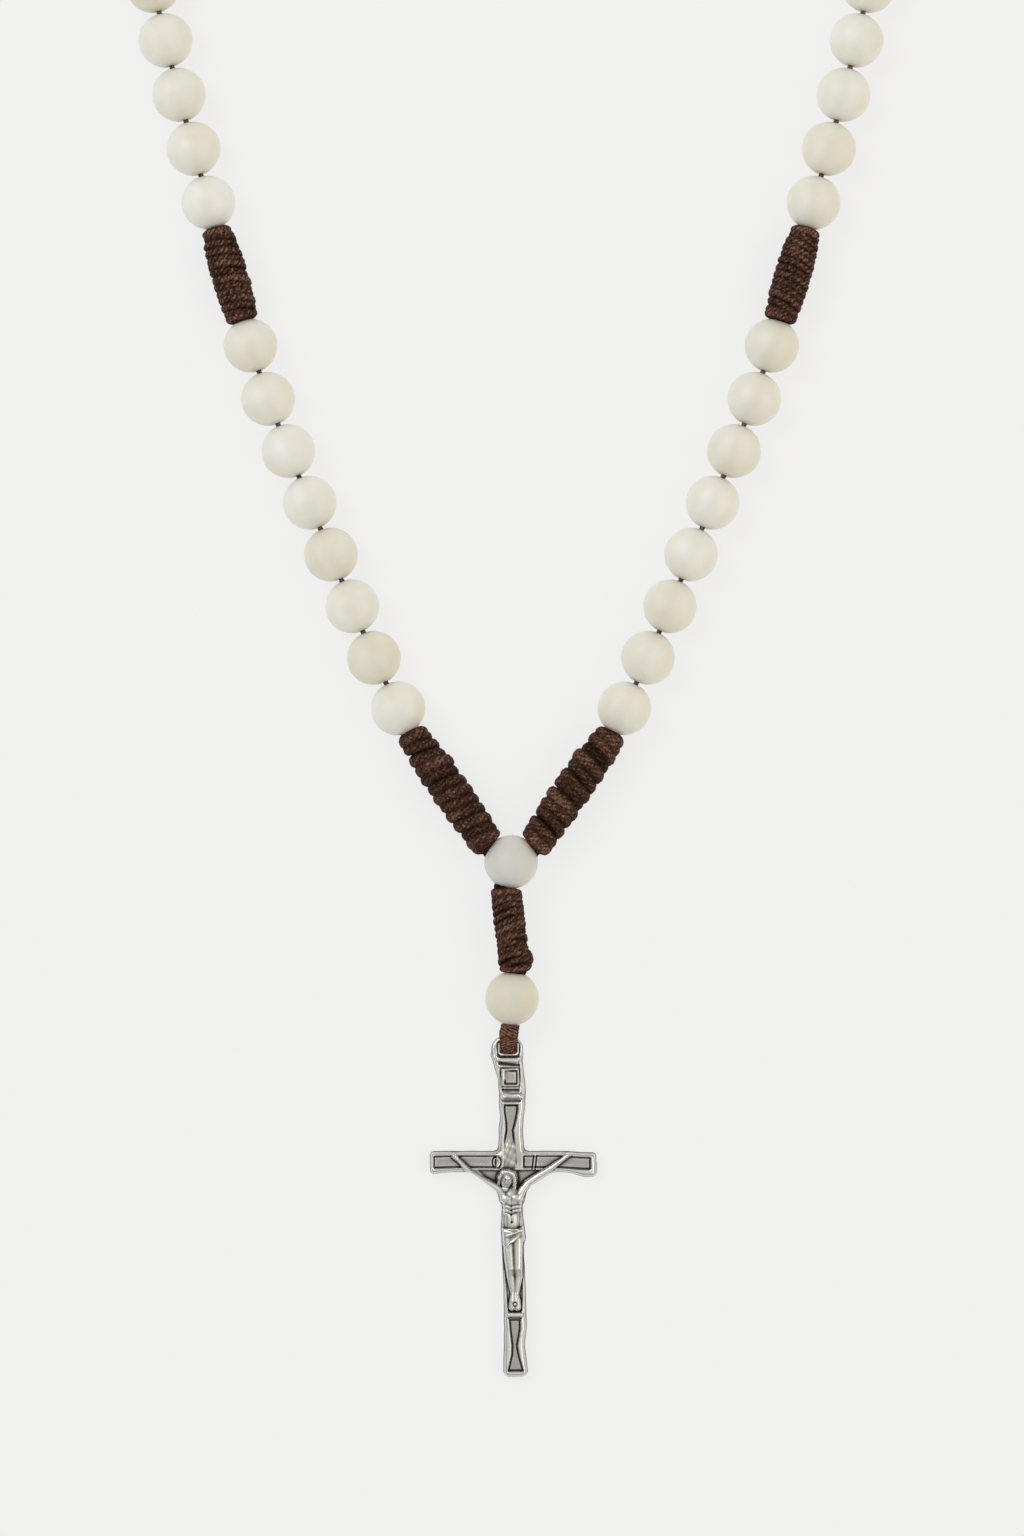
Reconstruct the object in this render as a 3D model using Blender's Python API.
"""A rosary laid out flat: five groups of stone beads on a waxed cord, wound knots between the groups, and a
pendant with a drop knot, one bead, a hanger loop and a cast crucifix.

Lengths are in millimetres until MM turns them into metres. +Y runs from the crucifix to the top of the loop,
+Z is up, and the whole rosary lies on z = 0 with its strand one bead radius above the surface. The layout is
worked out around the centre bead, and the parent empty then puts the middle of the outline at the origin.
"""

import math

import bmesh
import bpy
from mathutils import Matrix, Vector

MM = 0.001

# Driving dimensions
BEAD_D = 8.0
BEAD_BORE = 1.5
BEAD_GAP = 0.3
CORD_D = 0.8
KNOT_D = 5.4
KNOT_GAP = 0.5
CORD_STANDS_OUT = 0.1
LOWER_KNOT_LENGTH = 19.6
SEPARATOR_KNOT_LENGTH = 13.1
DROP_KNOT_LENGTH = 11.3
DROP_KNOT_D = 4.6

# Directions of the links in degrees, turned from +Y towards the outside of the loop, from the centre bead up
CENTRE_MOUTH_LEAN = 54.0
LOWER_KNOT_LEAN = 34.6
LOWER_DECADE_LEANS = (27.0, 23.5, 22.6, 22.0, 22.6, 22.4, 19.8, 17.0)
SEPARATOR_KNOT_LEAN = 16.3
UPPER_DECADE_LEANS = (15.8, 15.6, 14.6, 13.2, 12.0)
SHOULDER_TURNS = 5
TOP_HALF_TURNS = 3.5

# The pendant's links, turned from -Y towards +X
DROP_MOUTH_LEAN = -10.0
DROP_KNOT_LEAN = 5.9
PENDANT_BEAD_LEAN = -4.0
HANGER_LEAN = -8.0
PENDANT_BORE = 2.6
DROP_CORD_OFFSET = 0.55

# Hanger loop and bail
HANGER_DROP = 1.92
HANGER_WIDTH = 2.6
HANGER_SLACK = 0.8
BAIL_WIRE = 0.9
BAIL_HEIGHT = 1.55
BAIL_SPAN = 3.9
BAIL_DROP = 2.95
BAIL_CORNER = 0.5
HANGER_CLEARANCE = 0.25

# Crucifix, in its own frame: origin on the bail's bar, -Y down the shaft, z = 0 on the surface it lies on
CROSS_THICKNESS = 2.4
CROSS_LENGTH = 50.3
CROSS_SPAN_LEFT = 11.7
CROSS_SPAN_RIGHT = 13.1
CROSS_ARM_Y = -18.6
CROSS_BAR_WIDTH = 3.7
CROSS_TOP_Y = -2.6
CROSS_EDGE = 0.4

BEAD_SEGMENTS = 12
BEAD_PROFILE_POINTS = 7
WIRE_SIDES = 8
BEAD_R = BEAD_D / 2
STRAND_Z = BEAD_R


def heading(lean):
    """The unit vector in the surface's plane that is turned by lean degrees from +Y towards +X."""
    angle = math.radians(lean)
    return Vector((math.sin(angle), math.cos(angle), 0.0))


def drop_heading(lean):
    """The unit vector that is turned by lean degrees from -Y towards +X."""
    return heading(180.0 - lean)


def material(name, colour, roughness, metallic=0.0):
    made = bpy.data.materials.new(name)
    made.use_nodes = True
    shader = made.node_tree.nodes["Principled BSDF"]
    shader.inputs["Base Color"].default_value = (*colour, 1.0)
    shader.inputs["Roughness"].default_value = roughness
    shader.inputs["Metallic"].default_value = metallic
    return made


# Shapes


def mesh_from(name, build):
    """Runs build on an empty bmesh in millimetres and returns the closed mesh in metres."""
    shape = bmesh.new()
    build(shape)
    bmesh.ops.recalc_face_normals(shape, faces=shape.faces)
    bmesh.ops.scale(shape, vec=(MM, MM, MM), verts=shape.verts)
    mesh = bpy.data.meshes.new(name)
    shape.to_mesh(mesh)
    shape.free()
    mesh.shade_smooth()
    mesh.set_sharp_from_angle(angle=math.radians(40))
    return mesh


def join_rings(shape, rings, closed):
    """Covers a row of equal rings of vertices with quads; closed joins the last ring to the first."""
    pairs = list(zip(rings, rings[1:] + rings[:1])) if closed else list(zip(rings, rings[1:]))
    for first, second in pairs:
        count = len(first)
        for i in range(count):
            j = (i + 1) % count
            shape.faces.new((first[i], first[j], second[j], second[i]))


def turned_ring(shape, radius, along, segments):
    """One ring of vertices about the Y axis, with a vertex straight down."""
    turns = [math.tau * i / segments for i in range(segments)]
    return [shape.verts.new((radius * math.sin(t), along, -radius * math.cos(t))) for t in turns]


def bead_mesh(name, bore):
    """A round bead about the Y axis, drilled through with the given bore."""
    mouth = math.acos(bore / 2 / BEAD_R)

    def build(shape):
        rings = []
        for i in range(BEAD_PROFILE_POINTS):
            latitude = mouth - 2 * mouth * i / (BEAD_PROFILE_POINTS - 1)
            radius, along = BEAD_R * math.cos(latitude), BEAD_R * math.sin(latitude)
            rings.append(turned_ring(shape, radius, along, BEAD_SEGMENTS))
        join_rings(shape, rings, closed=True)

    return mesh_from(name, build)


def capped_turning(shape, profile, segments):
    """A solid about the Y axis from (along, radius) points; the first and last lie on the axis."""
    rings = [turned_ring(shape, radius, along, segments) for along, radius in profile[1:-1]]
    join_rings(shape, rings, closed=False)
    for (along, _), ring in ((profile[0], rings[0]), (profile[-1], rings[-1])):
        pole = shape.verts.new((0.0, along, 0.0))
        for i, vertex in enumerate(ring):
            shape.faces.new((pole, vertex, ring[(i + 1) % len(ring)]))


def knot_mesh(name, length, diameter):
    """The outer form of a wound knot about the Y axis: domed ends, a taper, and a straight middle."""
    half = length / 2
    r = diameter / 2
    side = [(half, 0.0), (half - 0.15, 0.42 * r), (half - 0.6, 0.66 * r), (half - 1.8, 0.86 * r)]
    middle = [(half * 0.45, r)]
    profile = side + middle + [(-along, radius) for along, radius in reversed(side + middle)]

    def build(shape):
        capped_turning(shape, profile, BEAD_SEGMENTS)

    return mesh_from(name, build)


def solid_bead_mesh(name):
    def build(shape):
        count = BEAD_PROFILE_POINTS + 1
        points = [math.pi / 2 - math.pi * i / count for i in range(count + 1)]
        profile = [(BEAD_R * math.sin(t), BEAD_R * math.cos(t)) for t in points]
        capped_turning(shape, profile, BEAD_SEGMENTS)

    return mesh_from(name, build)


def rod_mesh(name, start, end, radius_start, radius_end):
    """A closed round rod between two points, with flat ends."""
    axis = end - start
    turn = axis.to_track_quat("Y", "Z").to_matrix()

    def build(shape):
        rings = []
        for along, radius in ((0.0, radius_start), (axis.length, radius_end)):
            ring = turned_ring(shape, radius, along, WIRE_SIDES)
            rings.append(ring)
            for vertex in ring:
                vertex.co = start + turn @ vertex.co
        join_rings(shape, rings, closed=False)
        shape.faces.new(rings[0])
        shape.faces.new(rings[1])

    return mesh_from(name, build)


def prism_mesh(name, outline, low, high):
    """An outline in the XY plane, made solid between two heights."""

    def build(shape):
        rings = [[shape.verts.new((x, y, z)) for x, y in outline] for z in (low, high)]
        join_rings(shape, rings, closed=False)
        shape.faces.new(rings[0])
        shape.faces.new(rings[1])

    return mesh_from(name, build)


def bail_mesh(name):
    """The bail's wire: a rounded rectangle in the cross's plane, whose top bar lies on the X axis."""
    half = BAIL_SPAN / 2
    inner = half - BAIL_CORNER
    corners = ((inner, -BAIL_CORNER, 90), (inner, -BAIL_DROP + BAIL_CORNER, 0),
               (-inner, -BAIL_DROP + BAIL_CORNER, -90), (-inner, -BAIL_CORNER, -180))

    def build(shape):
        rings = []
        for x, y, first in corners:
            for step in (0, 30, 60, 90):
                out = math.radians(first - step)
                outward = Vector((math.cos(out), math.sin(out), 0.0))
                middle = Vector((x, y, 0.0)) + BAIL_CORNER * outward
                ring = []
                for i in range(WIRE_SIDES):
                    t = math.tau * (i + 0.5) / WIRE_SIDES
                    offset = outward * math.cos(t) + Vector((0.0, 0.0, 1.0)) * math.sin(t)
                    ring.append(shape.verts.new(middle + BAIL_WIRE / 2 * offset))
                rings.append(ring)
        join_rings(shape, rings, closed=True)

    return mesh_from(name, build)


def hull_outline(circles, count):
    """The outline drawn tight around circles of (x, y, radius): one point for each of count directions."""
    outline = []
    for i in range(count):
        out = Vector((math.cos(math.tau * i / count), math.sin(math.tau * i / count)))
        x, y, radius = max(circles, key=lambda circle: circle[0] * out.x + circle[1] * out.y + circle[2])
        outline.append((x + radius * out.x, y + radius * out.y))
    return outline


def hanger_mesh(name):
    """The cord's end loop as one flat band round the bail's bar, in the YZ plane, 0.8 mm thick."""
    inside = BAIL_WIRE / 2 + HANGER_CLEARANCE
    outside = inside + CORD_D
    outer = hull_outline(((-HANGER_SLACK, 0.0, outside), (0.0, 0.0, outside), (1.15, 1.95, 0.5)), 28)
    inner = hull_outline(((-HANGER_SLACK, 0.0, inside), (0.0, 0.0, inside)), 28)

    def build(shape):
        half = HANGER_WIDTH / 2
        rings = []
        for outline, x in ((outer, -half), (outer, half), (inner, half), (inner, -half)):
            rings.append([shape.verts.new((x, y, z)) for y, z in outline])
        join_rings(shape, rings, closed=True)

    return mesh_from(name, build)


def smooth_route(points, steps):
    """Points read from a Catmull-Rom curve through the given points, steps to each stretch."""
    padded = [2 * points[0] - points[1], *points, 2 * points[-1] - points[-2]]
    route = []
    for before, start, end, after in zip(padded, padded[1:], padded[2:], padded[3:]):
        for i in range(steps):
            t = i / steps
            leave, arrive = (end - before) / 2, (after - start) / 2
            route.append(
                (2 * t**3 - 3 * t**2 + 1) * start
                + (t**3 - 2 * t**2 + t) * leave
                + (3 * t**2 - 2 * t**3) * end
                + (t**3 - t**2) * arrive
            )
    route.append(points[-1])
    return route


def cord_curve(name, route):
    """A round cord of the rosary's diameter along a route."""
    curve = bpy.data.curves.new(name, "CURVE")
    curve.dimensions = "3D"
    curve.bevel_depth = CORD_D / 2 * MM
    curve.bevel_resolution = 2
    curve.render_resolution_u = 0
    curve.use_fill_caps = True
    spline = curve.splines.new("POLY")
    spline.points.add(len(route) - 1)
    for point, place in zip(spline.points, route):
        point.co = (*(place * MM), 1.0)
    return curve


# Layout


class Link:
    """A bead or a knot on the strand: its ends are the middles of the gaps on both sides."""

    def __init__(self, kind, start, lean, before, length, after):
        self.kind = kind
        self.lean = lean
        self.start = start
        self.middle = start + (before + length / 2) * heading(lean)
        self.end = start + (before + length + after) * heading(lean)

    def mirrored(self):
        """The same link on the left of the loop, or run through from its other end on the right."""
        other = Link.__new__(Link)
        other.kind = self.kind
        other.lean = -self.lean
        flip = Vector((-1.0, 1.0, 1.0))
        other.start, other.middle, other.end = (p * flip for p in (self.start, self.middle, self.end))
        return other

    def reversed(self):
        other = Link.__new__(Link)
        other.kind, other.lean, other.middle = self.kind, self.lean, self.middle
        other.start, other.end = self.end, self.start
        return other


def lay_side(shoulder):
    """One side of the loop, from the centre bead to the middle of the top group, with this corner turn."""
    top_turn = (UPPER_DECADE_LEANS[-1] + 90.0 - SHOULDER_TURNS * shoulder) / TOP_HALF_TURNS
    bend = UPPER_DECADE_LEANS[-1]
    upper = UPPER_DECADE_LEANS + tuple(bend - shoulder * i for i in (1, 2, 3))
    top = tuple(bend - shoulder * SHOULDER_TURNS - top_turn * i for i in range(4))
    place = (BEAD_R + KNOT_GAP / 2) * heading(CENTRE_MOUTH_LEAN) + Vector((0.0, 0.0, STRAND_Z))
    links = []

    def add(kind, lean, before, length, after):
        start = links[-1].end if links else place
        links.append(Link(kind, start, lean, before, length, after))

    def add_decade(leans, whole):
        for i, lean in enumerate(leans):
            before = KNOT_GAP if i == 0 else BEAD_GAP
            after = KNOT_GAP if whole and i == len(leans) - 1 else BEAD_GAP
            add("bead", lean, before / 2, BEAD_D, after / 2)

    add("lower_knot", LOWER_KNOT_LEAN, KNOT_GAP / 2, LOWER_KNOT_LENGTH, KNOT_GAP / 2)
    add_decade(LOWER_DECADE_LEANS, whole=True)
    add("separator_knot", SEPARATOR_KNOT_LEAN, KNOT_GAP / 2, SEPARATOR_KNOT_LENGTH, KNOT_GAP / 2)
    add_decade(upper, whole=True)
    corner = bend - shoulder * (SHOULDER_TURNS - 1)
    add("separator_knot", corner, KNOT_GAP / 2, SEPARATOR_KNOT_LENGTH, KNOT_GAP / 2)
    add_decade(top, whole=False)
    return links


def closed_side():
    """The side whose last link ends on the loop's middle line, found by halving the range of corner turns."""
    low, high = 8.0, 20.4
    for _ in range(40):
        turn = (low + high) / 2
        if lay_side(turn)[-1].end.x > 0:
            low = turn
        else:
            high = turn
    return lay_side((low + high) / 2)


def name_loop(side):
    """Names the links clockwise from the centre bead's left: decades 1 to 5 with the knots between them."""
    links = [link.mirrored() for link in side] + [link.reversed() for link in reversed(side)]
    named = {}
    decade, bead, separator = 1, 0, 0
    for link in links:
        if link.kind == "bead":
            bead += 1
            named[f"decade_{decade}_bead_{bead}"] = link
        elif link.kind == "separator_knot":
            separator += 1
            decade, bead = decade + 1, 0
            named[f"separator_knot_{separator}"] = link
        else:
            named["lower_knot_right" if "lower_knot_left" in named else "lower_knot_left"] = link
    return named


def lay_pendant():
    """The places of the pendant's joints and pieces, from the centre bead down to the bail's bar."""
    swing = Vector((0.0, 0.0, STRAND_Z)) + (BEAD_R + KNOT_GAP / 2) * drop_heading(DROP_MOUTH_LEAN)
    bend = swing + (DROP_KNOT_LENGTH + KNOT_GAP) * drop_heading(DROP_KNOT_LEAN)
    bead = bend + (BEAD_R + KNOT_GAP / 2) * drop_heading(PENDANT_BEAD_LEAN)
    hang = bead + (BEAD_R + KNOT_GAP / 2) * drop_heading(PENDANT_BEAD_LEAN)
    bail = hang + HANGER_DROP * drop_heading(HANGER_LEAN)
    bail.z = BAIL_HEIGHT
    return {
        "drop_swing": swing,
        "pendant_bend": bend,
        "pendant_bead": bead,
        "hanger_bend": hang,
        "bail": bail,
    }


# Assembly


def place_object(name, data, finish, parent, place, lean=0.0):
    data.materials.append(finish) if finish.name not in data.materials else None
    made = bpy.data.objects.new(name, data)
    made.parent = parent
    made.location = place * MM
    made.rotation_euler = (0.0, 0.0, -math.radians(lean))
    bpy.context.collection.objects.link(made)
    return made


def as_cutter(made):
    made.hide_render = True
    made.display_type = "WIRE"
    return made


def boolean(made, other, operation):
    step = made.modifiers.new(other.name, "BOOLEAN")
    step.operation = operation
    step.object = other
    step.solver = "EXACT"


def make_strand(loop, parent, stone, cord, knot):
    """The loop's beads and knots, and one cord through each group of beads."""
    bead = bead_mesh("bead", BEAD_BORE)
    lower = knot_mesh("lower_knot", LOWER_KNOT_LENGTH, KNOT_D)
    separator = knot_mesh("separator_knot", SEPARATOR_KNOT_LENGTH, KNOT_D)
    shapes = {"bead": (bead, stone), "lower_knot": (lower, knot), "separator_knot": (separator, knot)}
    for name, link in loop.items():
        data, finish = shapes[link.kind]
        place_object(name, data, finish, parent, link.middle, link.lean)
    for decade in range(1, 6):
        beads = [loop[f"decade_{decade}_bead_{i}"] for i in range(1, 9)]
        back = KNOT_GAP / 2 - CORD_STANDS_OUT
        first, last = beads[0], beads[-1]
        points = [first.start + back * (first.middle - first.start).normalized()]
        for link in beads:
            points += [link.middle, link.end]
        points[-1] = last.end + back * (last.middle - last.end).normalized()
        place_object(f"decade_cord_{decade}", cord_curve("cord", smooth_route(points, 2)), cord, parent,
                     Vector((0.0, 0.0, 0.0)))


def make_centre(parent, stone, cord):
    """The centre bead, drilled from three sides, and the two cords that leave together at its foot."""
    middle = Vector((0.0, 0.0, STRAND_Z))
    bead = place_object("centre_bead", solid_bead_mesh("centre_bead"), stone, parent, middle)
    reach = BEAD_R + CORD_STANDS_OUT
    down = drop_heading(DROP_MOUTH_LEAN)
    bores = [("drop_bore", -1.0 * down, 6.0 * down, PENDANT_BORE / 2)]
    for name, lean in (("left_bore", -CENTRE_MOUTH_LEAN), ("right_bore", CENTRE_MOUTH_LEAN)):
        bores.append((name, Vector((0.0, 0.0, 0.0)), 6.0 * heading(lean), BEAD_BORE / 2))
    for name, start, end, radius in bores:
        rod = rod_mesh(name, start, end, radius, radius)
        boolean(bead, as_cutter(place_object(name, rod, stone, parent, middle)), "DIFFERENCE")
    across = down.cross(Vector((0.0, 0.0, 1.0)))
    for name, side in (("centre_cord_left", 1.0), ("centre_cord_right", -1.0)):
        out = heading(-side * CENTRE_MOUTH_LEAN)
        aside = across * DROP_CORD_OFFSET * side
        points = [reach * out, 2.6 * out, 1.3 * out, 0.2 * down + 1.15 * aside, 1.7 * down + aside,
                  3.0 * down + aside, reach * down + aside]
        place_object(name, cord_curve(name, smooth_route(points, 2)), cord, parent, middle)


def make_crucifix(parent, metal, bail):
    """The crucifix as one casting: cross, bail wire and the figure's relief, joined by unions."""
    half = CROSS_BAR_WIDTH / 2
    arm_top, arm_low = CROSS_ARM_Y + half, CROSS_ARM_Y - half
    outline = ((-half, CROSS_TOP_Y), (-half + 0.25, arm_top + 2.5), (-half + 0.35, arm_top),
               (-CROSS_SPAN_LEFT, arm_top), (-CROSS_SPAN_LEFT, arm_low), (-half + 0.4, arm_low),
               (-half + 1.05, -CROSS_LENGTH), (half + 1.05, -CROSS_LENGTH), (half + 0.4, arm_low),
               (CROSS_SPAN_RIGHT, arm_low), (CROSS_SPAN_RIGHT, arm_top), (half + 0.35, arm_top),
               (half + 0.25, arm_top + 2.5), (half, CROSS_TOP_Y))
    low, high = -BAIL_HEIGHT, CROSS_THICKNESS - BAIL_HEIGHT
    crucifix = place_object("crucifix", prism_mesh("crucifix", outline, low, high), metal, parent, bail)
    edge = crucifix.modifiers.new("edge", "BEVEL")
    edge.width = CROSS_EDGE * MM
    edge.segments = 1
    edge.limit_method = "ANGLE"
    edge.angle_limit = math.radians(60)
    ring = as_cutter(place_object("bail_wire", bail_mesh("bail_wire"), metal, parent, bail))
    boolean(crucifix, ring, "UNION")
    top = high - 0.4
    limbs = {
        "head": ((-0.75, -20.2, top), (-0.35, -22.4, top), 0.85, 1.0),
        "torso": ((0.35, -22.9, top), (0.5, -28.0, top), 1.35, 1.1),
        "drape": ((0.5, -27.6, top), (0.55, -31.0, top), 1.3, 1.25),
        "legs": ((0.6, -30.6, top), (0.75, -40.5, top), 1.15, 0.7),
        "left_arm": ((-0.9, -23.6, top), (-7.4, -17.6, top), 0.65, 0.5),
        "right_arm": ((1.4, -23.4, top), (9.0, -17.4, top), 0.65, 0.5),
    }
    for name, (start, end, radius_start, radius_end) in limbs.items():
        rod = rod_mesh(name, Vector(start), Vector(end), radius_start, radius_end)
        limb = as_cutter(place_object(name, rod, metal, parent, bail))
        boolean(crucifix, limb, "UNION")


def make_pendant(places, parent, stone, cord, knot, metal):
    drop = (places["drop_swing"] + places["pendant_bend"]) / 2
    place_object("drop_knot", knot_mesh("drop_knot", DROP_KNOT_LENGTH, DROP_KNOT_D), knot, parent, drop,
                 -DROP_KNOT_LEAN)
    bead = places["pendant_bead"]
    drilled = bead_mesh("pendant_bead", PENDANT_BORE)
    place_object("pendant_bead", drilled, stone, parent, bead, -PENDANT_BEAD_LEAN)
    reach = (BEAD_R + CORD_STANDS_OUT) * drop_heading(PENDANT_BEAD_LEAN)
    through = cord_curve("pendant_cord", smooth_route([-reach, reach * 0, reach], 2))
    place_object("pendant_cord", through, cord, parent, bead)
    place_object("hanger_loop", hanger_mesh("hanger_loop"), cord, parent, places["bail"])
    make_crucifix(parent, metal, places["bail"])


def build():
    for old in list(bpy.data.objects):
        bpy.data.objects.remove(old)
    stone = material("frosted_stone", (0.74, 0.70, 0.60), 0.55)
    cord = material("waxed_cord", (0.09, 0.045, 0.03), 0.75)
    knot = material("wound_cord", (0.11, 0.055, 0.038), 0.8)
    metal = material("antique_silver", (0.62, 0.62, 0.60), 0.35, 1.0)
    loop = name_loop(closed_side())
    places = lay_pendant()
    top = max(link.middle.y for link in loop.values()) + BEAD_R
    foot = places["bail"].y - CROSS_LENGTH
    rosary = bpy.data.objects.new("rosary", None)
    rosary.location = (0.0, -(top + foot) / 2 * MM, 0.0)
    bpy.context.collection.objects.link(rosary)
    make_strand(loop, rosary, stone, cord, knot)
    make_centre(rosary, stone, cord)
    make_pendant(places, rosary, stone, cord, knot, metal)
    return loop, places, rosary.location.copy()


LOOP, PLACES, ORIGIN_SHIFT = build()
